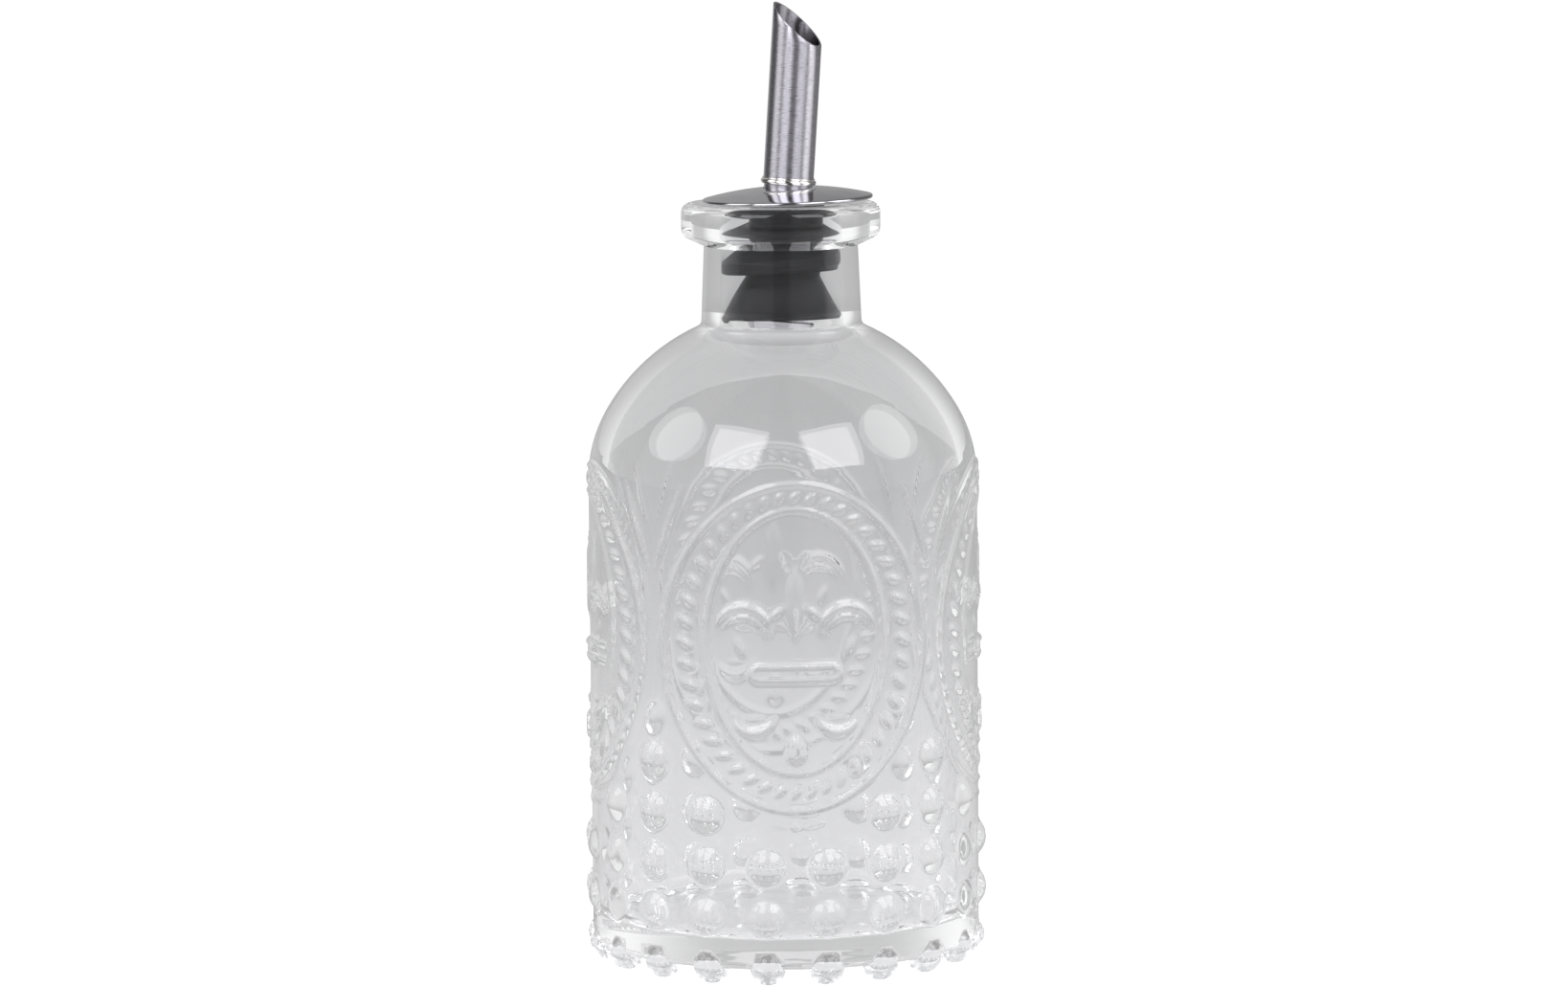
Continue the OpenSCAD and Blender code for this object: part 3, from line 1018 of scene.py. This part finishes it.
@dataclass
class Pourer:
    """The push-in pourer: rubber stopper, domed disc, collar, tube and end bush on one leaning axis.

    The axis leans by `lean` degrees towards +X and crosses the neck's axis `lean_depth` below the mouth. A
    distance along it, counted from that crossing, is called s. The fins are listed from the top down.
    """

    mouth_z: float
    bore_r: float
    lean: float = 3.75
    lean_depth: float = 19.5
    tube_d: float = 9.6
    tube_wall: float = 0.4
    stem_step: float = 0.2
    spout_len: float = 53.4
    cut_angle: float = 40.0
    cut_turn: float = 25.0
    cut_bevel: float = 0.09
    cut_ease: float = 0.01
    collar_reach: float = 0.5
    collar_h: float = 1.3
    disc_reach: float = 4.55
    disc_rise: float = 2.0
    disc_t: float = 0.8
    disc_lift: float = 1.1
    disc_tilt: float = 1.5
    core_wall: float = 2.5
    sleeve_len: float = 21.7
    fin_gap: float = 0.3
    fin_depth: tuple[float, ...] = (4.3, 7.7, 14.2)
    fin_drop: tuple[float, ...] = (0.8, 2.3, 6.7)
    fin_edge: tuple[float, ...] = (1.6, 2.6, 0.7)
    fin_root: tuple[float, ...] = (2.0, 3.4, 2.0)
    fin_tilt: tuple[float, ...] = (0.0, 5.0, 1.5)
    fin_curl: float = 0.6
    bush_h: float = 1.9
    bush_top_wall: float = 1.85
    bush_end_wall: float = 1.2
    collar_bead: float = 0.78
    collar_lip: float = 0.45
    bush_edge: float = 0.2
    sleeve_edge: float = 0.25
    run_gap: float = 0.05
    face_gap: float = 0.1
    seat_gap: float = 0.02
    sides: int = 96
    crease: float = 50.0
    fine_crease: float = 40.0

    def __post_init__(self) -> None:
        """Works out places along the leaning axis, counted from where it crosses the neck's axis."""
        self.tube_r = self.tube_d / 2.0
        self.stem_r = self.tube_r - self.stem_step
        self.core_r = self.stem_r + self.core_wall
        self.fin_r = self.bore_r - self.fin_gap
        self.pivot_z = self.mouth_z - self.lean_depth
        slant = math.cos(math.radians(self.lean))
        self.disc_s = (self.lean_depth + self.disc_lift) / slant
        self.disc_r = self.bore_r + self.disc_reach
        self.ball_r = (self.disc_r ** 2 + self.disc_rise ** 2) / (2.0 * self.disc_rise)
        self.disc_lean = self.lean + self.disc_tilt
        self.collar_r = self.tube_r + self.collar_reach
        self.collar_s = (self.disc_s + self.disc_over(self.collar_r)
                         + self.collar_r * math.tan(math.radians(self.disc_lean)) + self.face_gap)
        self.stem_top_s = self.collar_s + self.collar_h + self.seat_gap
        self.core_end_s = (self.lean_depth - self.sleeve_len) / slant
        self.bush_top_s = self.core_end_s - self.face_gap
        self.tube_end_s = self.bush_top_s - self.bush_h

    def disc_over(self, r: float) -> float:
        """Height of the disc's outside over its rim at a radius."""
        return self.disc_rise - self.ball_r + math.sqrt(self.ball_r ** 2 - r ** 2)

    def disc_under(self, r: float) -> float:
        """Height of the disc's hollow side over its rim at a radius."""
        return self.disc_rise - self.ball_r + math.sqrt((self.ball_r - self.disc_t) ** 2 - r ** 2)

    def on_axis(self, s: float) -> Matrix:
        """Place on the leaning axis at a distance along it."""
        pivot = Matrix.Translation((0.0, 0.0, self.pivot_z))
        turn = Matrix.Rotation(math.radians(self.lean), 4, "Y")
        return pivot @ turn @ Matrix.Translation((0.0, 0.0, s))

    def on_disc(self) -> Matrix:
        """Place of the disc's rim plane."""
        return self.on_axis(self.disc_s) @ Matrix.Rotation(math.radians(-self.disc_lean), 4, "Y")

    def tube(self, finish: bpy.types.Material) -> None:
        """Builds the slant-cut tube.

        Args:
            finish: Material of the tube.
        """
        bm = bmesh.new()
        top = self.spout_len + self.tube_d
        step = self.stem_top_s + self.tube_wall
        pen = Pen(bm, self.stem_r, self.tube_end_s)
        pen.line(self.stem_r, self.stem_top_s, 4).line(self.tube_r, self.stem_top_s)
        pen.line(self.tube_r, top, 12)
        pen.line(self.tube_r - self.tube_wall, top).line(self.tube_r - self.tube_wall, step, 12)
        pen.line(self.stem_r - self.tube_wall, step).line(self.stem_r - self.tube_wall, self.tube_end_s, 4)
        pen.line(self.stem_r, self.tube_end_s)
        lathe(bm, self.sides)
        plane = (Matrix.Translation((0.0, 0.0, self.spout_len - self.cut_ease))
                 @ Matrix.Rotation(math.radians(-self.cut_turn), 4, "Z")
                 @ Matrix.Rotation(math.radians(self.cut_angle), 4, "Y"))
        rims = slice_off(bm, plane.translation, plane.col[2].to_3d())
        bmesh.ops.bridge_loops(bm, edges=rims)
        bmesh.ops.bevel(bm, geom=rims, offset=self.cut_bevel, offset_type="OFFSET", segments=2, profile=0.5,
                        affect="EDGES", clamp_overlap=True, material=-1)
        # Marks the faces inside the bore, where the steel material paints shade.
        bore_shade_mask = bm.faces.layers.float.new(BORE_SHADE_ATTRIBUTE)
        for face in bm.faces:
            middle = face.calc_center_median()
            face[bore_shade_mask] = float(math.hypot(middle.x, middle.y) < self.tube_r - self.tube_wall)
        piece = as_object(bm, "slant_cut_tube", self.fine_crease, self.on_axis(0.0))
        hand_over(piece, finish, Body.SPOUT, "spout_tube")

    def collar(self, finish: bpy.types.Material) -> None:
        """Builds the bead collar with the thin lip on top of it.

        Args:
            finish: Material of the collar.
        """
        bm = bmesh.new()
        bore = self.stem_r + self.seat_gap
        bead_h = self.collar_bead * self.collar_h
        lip_r = self.tube_r + self.collar_lip * self.collar_reach
        lip_edge = (self.collar_h - bead_h) / 2.0
        bead_edge = bead_h / 2.0
        pen = Pen(bm, bore, 0.0)
        pen.line(self.collar_r - bead_edge, 0.0).arc(self.collar_r - bead_edge, bead_edge, 180.0, 12)
        pen.line(lip_r - lip_edge, bead_h).arc(lip_r - lip_edge, bead_h + lip_edge, 180.0, 6)
        pen.line(bore, self.collar_h).line(bore, 0.0)
        lathe(bm, self.sides)
        piece = as_object(bm, "bead_collar", self.crease, self.on_axis(self.collar_s))
        hand_over(piece, finish, Body.SPOUT, "spout_collar")

    def disc(self, finish: bpy.types.Material) -> None:
        """Builds the domed disc with its rounded rim.

        Args:
            finish: Material of the disc.
        """
        bm = bmesh.new()
        middle = self.disc_rise - self.ball_r
        inner_r = self.ball_r - self.disc_t
        bore = self.stem_r + self.run_gap
        rim = self.disc_t / 2.0
        rim_turn = math.degrees(math.asin((self.disc_r - rim) / (self.ball_r - rim)))
        rim_x = (self.ball_r - rim) * math.sin(math.radians(rim_turn))
        rim_z = middle + (self.ball_r - rim) * math.cos(math.radians(rim_turn))
        bore_turn = math.degrees(math.asin(bore / self.ball_r))
        bore_in_turn = math.degrees(math.asin(bore / inner_r))
        pen = Pen(bm, bore, middle + self.ball_r * math.cos(math.radians(bore_turn)))
        pen.arc(0.0, middle, bore_turn - rim_turn, 14)
        pen.arc(rim_x, rim_z, -180.0, 10)
        pen.arc(0.0, middle, rim_turn - bore_in_turn, 10)
        pen.line(bore, middle + self.ball_r * math.cos(math.radians(bore_turn)))
        lathe(bm, self.sides)
        piece = as_object(bm, "domed_disc", self.crease, self.on_disc())
        hand_over(piece, finish, Body.STOPPER, "dome_disc")

    def bush(self, finish: bpy.types.Material) -> None:
        """Builds the end bush with its edges broken.

        Args:
            finish: Material of the bush.
        """
        bm = bmesh.new()
        bore = self.stem_r + self.seat_gap
        end_r, top_r = self.stem_r + self.bush_end_wall, self.stem_r + self.bush_top_wall
        edge = self.bush_edge
        pen = Pen(bm, bore, 0.0)
        pen.line(end_r - edge, 0.0).line(end_r, edge).line(top_r, self.bush_h - edge, 3)
        pen.line(top_r - edge, self.bush_h).line(bore, self.bush_h).line(bore, 0.0)
        lathe(bm, self.sides)
        piece = as_object(bm, "end_bush_ring", self.fine_crease, self.on_axis(self.tube_end_s))
        hand_over(piece, finish, Body.SPOUT, "end_bush")

    def draw_fin(self, pen: Pen, number: int) -> None:
        """Draws one fin from its root above to its root below.

        Args:
            pen: Pen that comes down the core.
            number: Which fin, counted from the top.
        """
        top = self.mouth_z - self.fin_depth[number]
        drop, edge, root = self.fin_drop[number], self.fin_edge[number], self.fin_root[number]
        curl = min(edge / 2.0, self.fin_curl)
        pen.line(self.core_r, top, 2)
        pen.line(self.fin_r - curl, top - drop, 6)
        pen.arc(self.fin_r - curl, top - drop - curl, -90.0, 4)
        pen.line(self.fin_r, top - drop - edge + curl, 2)
        pen.arc(self.fin_r - curl, top - drop - edge + curl, -90.0, 4)
        pen.line(self.core_r, top - root, 6)

    def lean_and_tilt(self, bm: bmesh.types.BMesh) -> None:
        """Leans the core with the tube, keeps the fins' rims in the middle of the bore and tilts each fin.

        Args:
            bm: Upright mesh of the sleeve in millimetres.
        """
        slant = math.tan(math.radians(self.lean))
        for vert in bm.verts:
            r = math.hypot(vert.co.x, vert.co.y)
            out = smooth_step((r - self.core_r) / (self.fin_r - self.core_r))
            for number, depth in enumerate(self.fin_depth):
                top = self.mouth_z - depth
                rim = top - self.fin_drop[number] - self.fin_edge[number]
                if r > self.core_r + MERGE_MM and rim <= vert.co.z <= top:
                    vert.co.z += vert.co.x * math.tan(math.radians(self.fin_tilt[number])) * out
                    break
            vert.co.x += (vert.co.z - self.pivot_z) * slant * (1.0 - out)

    def sleeve(self, finish: bpy.types.Material) -> None:
        """Builds the finned rubber sleeve.

        Args:
            finish: Material of the rubber.
        """
        bm = bmesh.new()
        bore = self.stem_r + self.run_gap
        slant = math.cos(math.radians(self.lean))
        top = self.pivot_z + self.disc_s * slant + self.disc_under(self.core_r) - 2.0 * self.run_gap
        end = self.pivot_z + self.core_end_s * slant
        edge = self.sleeve_edge
        pen = Pen(bm, bore, top)
        pen.line(self.core_r - edge, top).line(self.core_r, top - edge)
        for number in range(len(self.fin_depth)):
            self.draw_fin(pen, number)
        pen.line(self.core_r, end + edge, 4).line(self.core_r - edge, end)
        pen.line(bore, end).line(bore, top, 8)
        lathe(bm, self.sides)
        self.lean_and_tilt(bm)
        piece = as_object(bm, "finned_rubber_sleeve", self.crease)
        hand_over(piece, finish, Body.STOPPER, "rubber_sleeve")


# ---- Studio and camera ----


def towards(bearing: float, rise: float) -> Vector:
    """Direction from the bottle.

    Args:
        bearing: Degrees from -Y towards +X.
        rise: Elevation in degrees.

    Returns:
        A vector of length 1.
    """
    turn, lift = math.radians(bearing), math.radians(rise)
    return Vector((math.sin(turn) * math.cos(lift), -math.cos(turn) * math.cos(lift), math.sin(lift)))


@dataclass
class Softbox:
    """A lamp that faces the bottle.

    Attributes:
        bearing: Direction from the bottle, in degrees from -Y towards +X.
        rise: Elevation in degrees.
        width: Width in metres, or the diameter of a round lamp.
        height: Height in metres, or 0 for a round lamp.
        radiance: How bright its face is, where 1 is white.
        tone: Colour of its light.
    """

    bearing: float
    rise: float
    width: float
    height: float
    radiance: float
    tone: Colour = (1.0, 1.0, 1.0)
    distance: float = 1.0
    aim_z: float = 0.09

    def build(self, name: str) -> None:
        """Adds the lamp to the scene.

        Args:
            name: Name of the lamp.
        """
        lamp = bpy.data.lights.new(name, "AREA")
        lamp.color = self.tone
        lamp.size = self.width
        if self.height:
            lamp.shape = "RECTANGLE"
            lamp.size_y = self.height
            area = self.width * self.height
        else:
            lamp.shape = "DISK"
            area = math.pi * self.width ** 2 / 4.0
        lamp.energy = self.radiance * math.pi * area
        holder = bpy.data.objects.new(name, lamp)
        aim = Vector((0.0, 0.0, self.aim_z))
        back = towards(self.bearing, self.rise)
        holder.location = aim + back * self.distance
        holder.rotation_euler = back.to_track_quat("Z", "Y").to_euler()
        bpy.context.scene.collection.objects.link(holder)


@dataclass
class Studio:
    """A plain white studio: floor, world and lamps.

    Attributes:
        floor_r: Radius of the floor in metres.
        plain: Light of the world on dull surfaces.
        glass_middle: What glass shows straight behind it.
        glass_side: What glass shows where it bends the view far to a side.
        side_from: How far sideways a ray goes, from 0 to 1, where glass starts to show more than the middle.
        side_to: How far sideways it goes where glass shows the side.
        glass_near: What glass shows of the floor close behind it.
        glass_far: What glass shows of the floor farther off.
        near: Distance from the bottle to the near floor, in metres.
        far: Distance to the far floor, in metres.
        mirrored: What metal mirrors of the room, as bearings from -Y towards +X and levels there.
        floor_own: Light of the floor's own.
        floor_dull: Colour of the floor where it takes light and shadow.
    """

    floor_r: float = 4.0
    plain: float = 0.30
    glass_middle: float = 0.60
    glass_side: float = 1.0
    side_from: float = 0.22
    side_to: float = 0.75
    glass_near: float = 0.57
    glass_far: float = 0.42
    near: float = 0.15
    far: float = 0.60
    mirrored: tuple[Point, ...] = (
        (-180.0, 0.42), (-150.0, 0.42), (-138.0, 0.08), (-104.0, 0.08), (-97.0, 0.62), (-72.0, 0.62),
        (-64.0, 0.22), (-56.0, 0.34), (-16.0, 0.34), (-13.0, 0.07), (8.0, 0.07), (11.0, 0.34), (44.0, 0.34),
        (48.0, 0.26), (62.0, 0.26), (68.0, 1.0), (94.0, 1.0), (103.0, 0.18), (150.0, 0.18), (180.0, 0.42))
    floor_own: float = 0.93
    floor_dull: float = 0.29

    def level(self, wiring: Wiring, glass: Socket, metal: Socket, plain: float) -> Socket:
        """Builds how bright the room is: white for the camera, and less by the kind of ray.

        A ray that leaves clear glass counts as glossy too, so the glass comes after the metal. A ray that
        the glass has mirrored too often to follow counts as one that leaves it.

        Args:
            wiring: Tree of the world or of the floor.
            glass: Level seen through glass.
            metal: Level mirrored by metal and glass.
            plain: Level for the light on dull surfaces.

        Returns:
            The level.
        """
        path = wiring.add("ShaderNodeLightPath").outputs
        level = wiring.choose(path["Is Glossy Ray"], plain, metal)
        trapped = wiring.compute("GREATER_THAN", path["Glossy Depth"], MIRRORS)
        level = wiring.choose(wiring.compute("MAXIMUM", path["Is Transmission Ray"], trapped), level, glass)
        return wiring.choose(path["Is Camera Ray"], level, 1.0)

    def metal_level(self, wiring: Wiring, direction: Socket) -> Socket:
        """Builds what metal mirrors: dark in front, pale panels to the sides.

        Args:
            wiring: Tree of the world or of the floor.
            direction: Where the ray goes.

        Returns:
            The level.
        """
        split = wiring.add("ShaderNodeSeparateXYZ", {"Vector": direction}).outputs
        bearing = wiring.compute("ARCTAN2", split["X"], wiring.compute("MULTIPLY", split["Y"], -1.0))
        share = wiring.compute("ADD", wiring.compute("DIVIDE", bearing, math.tau), 0.5)
        ramp = wiring.add("ShaderNodeValToRGB", {"Fac": share})
        stops = ramp.color_ramp.elements
        while len(stops) < len(self.mirrored):
            stops.new(1.0)
        for stop, (turn, level) in zip(stops, self.mirrored):
            stop.position = turn / FULL_TURN + 0.5
            stop.color = (level, level, level, 1.0)
        return ramp.outputs["Color"]

    def world(self) -> None:
        """Builds the world: white where it is seen, a plain grey light otherwise."""
        world = bpy.data.worlds.new("white_room")
        world.use_nodes = True
        wiring = Wiring(world.node_tree)
        direction = wiring.add("ShaderNodeTexCoord").outputs["Generated"]
        split = wiring.add("ShaderNodeSeparateXYZ", {"Vector": direction}).outputs
        sideways = wiring.compute("ABSOLUTE", split["X"])
        ends = ((self.side_from, self.glass_middle), (self.side_to, self.glass_side))
        glass = wiring.remap(sideways, *ends, "SMOOTHSTEP")
        level = self.level(wiring, glass, self.metal_level(wiring, direction), self.plain)
        back = wiring.add("ShaderNodeBackground", {"Color": (1.0, 1.0, 1.0, 1.0), "Strength": level})
        wiring.add("ShaderNodeOutputWorld", {"Surface": back.outputs["Background"]})
        bpy.context.scene.world = world

    def floor(self) -> None:
        """Builds the floor: it shows white by itself and takes the bottle's shadow."""
        bm = bmesh.new()
        bmesh.ops.create_circle(bm, cap_ends=True, segments=96, radius=self.floor_r / MM)
        floor = as_object(bm, "studio_floor", FULL_TURN)
        shader = Shader("white_floor")
        where = shader.add("ShaderNodeTexCoord").outputs["Object"]
        reach = shader.add("ShaderNodeVectorMath", {0: where}, operation="LENGTH").outputs["Value"]
        glass = shader.remap(reach, (self.near, self.glass_near), (self.far, self.glass_far), "SMOOTHSTEP")
        level = self.level(shader, glass, self.metal_level(shader, where), 0.0)
        strength = shader.compute("MULTIPLY", level, self.floor_own)
        bright = shader.add("ShaderNodeEmission", {"Strength": strength})
        grey = (self.floor_dull, self.floor_dull, self.floor_dull, 1.0)
        dull = shader.add("ShaderNodeBsdfDiffuse", {"Color": grey})
        both = shader.add("ShaderNodeAddShader", {0: dull.outputs["BSDF"], 1: bright.outputs["Emission"]})
        floor.data.materials.append(shader.show(both.outputs["Shader"]))

    def build(self) -> None:
        """Builds the whole studio."""
        self.world()
        self.floor()
        lilac = (0.95, 0.94, 1.0)
        lamps = {
            "softbox_left": Softbox(-36.0, 35.0, 0.55, 0.58, 4.0, lilac),
            "softbox_right": Softbox(32.0, 35.0, 0.55, 0.58, 4.0, lilac),
            "round_lamp_left": Softbox(-83.0, 33.0, 0.60, 0.0, 2.2),
            "round_lamp_right": Softbox(78.0, 33.0, 0.60, 0.0, 2.2)}
        for name, lamp in lamps.items():
            lamp.build(name)


@dataclass
class Viewpoint:
    """The camera in front of the bottle."""

    image_w: int = 1638
    sensor_mm: float = 36.0
    focal_px: float = 6816.0
    distance: float = 1.25
    aim: tuple[float, float, float] = (0.000233, 0.0, 0.08861)
    bearing: float = -3.34
    rise: float = 7.0
    roll: float = -0.45

    def build(self) -> None:
        """Adds the camera and makes it the scene's own."""
        camera = bpy.data.cameras.new("front_camera")
        camera.sensor_fit = "HORIZONTAL"
        camera.sensor_width = self.sensor_mm
        camera.lens = self.focal_px / self.image_w * self.sensor_mm
        camera.clip_end = 20.0
        holder = bpy.data.objects.new("front_camera", camera)
        back = towards(self.bearing, self.rise)
        facing = back.to_track_quat("Z", "Y").to_matrix().to_4x4()
        turn = Matrix.Rotation(math.radians(self.roll), 4, "Z")
        holder.matrix_world = Matrix.Translation(Vector(self.aim) + back * self.distance) @ facing @ turn
        bpy.context.scene.collection.objects.link(holder)
        bpy.context.scene.camera = holder


def main() -> None:
    """Builds the studio, the camera and every piece of the bottle."""
    logging.basicConfig(level=logging.INFO, format="%(name)s: %(message)s")
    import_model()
    bpy.context.scene.view_settings.view_transform = "Standard"
    Studio().build()
    Viewpoint().build()
    bottle = GlassBottle()
    bottle.build(ClearGlass().material())
    pourer = Pourer(mouth_z=bottle.mouth_z, bore_r=bottle.bore_r)
    polished = PolishedSteel().material()
    pourer.sleeve(Rubber().material())
    pourer.disc(polished)
    # The collar uses a lighter copy of the polished steel, which is a painted highlight.
    pourer.collar(PolishedSteel("collar_steel_painted_highlight", (0.86, 0.85, 0.83), (0.94, 0.93, 0.91)).material())
    pourer.tube(BrushedSteel().material())
    pourer.bush(polished)


if __name__ == "__main__":
    main()
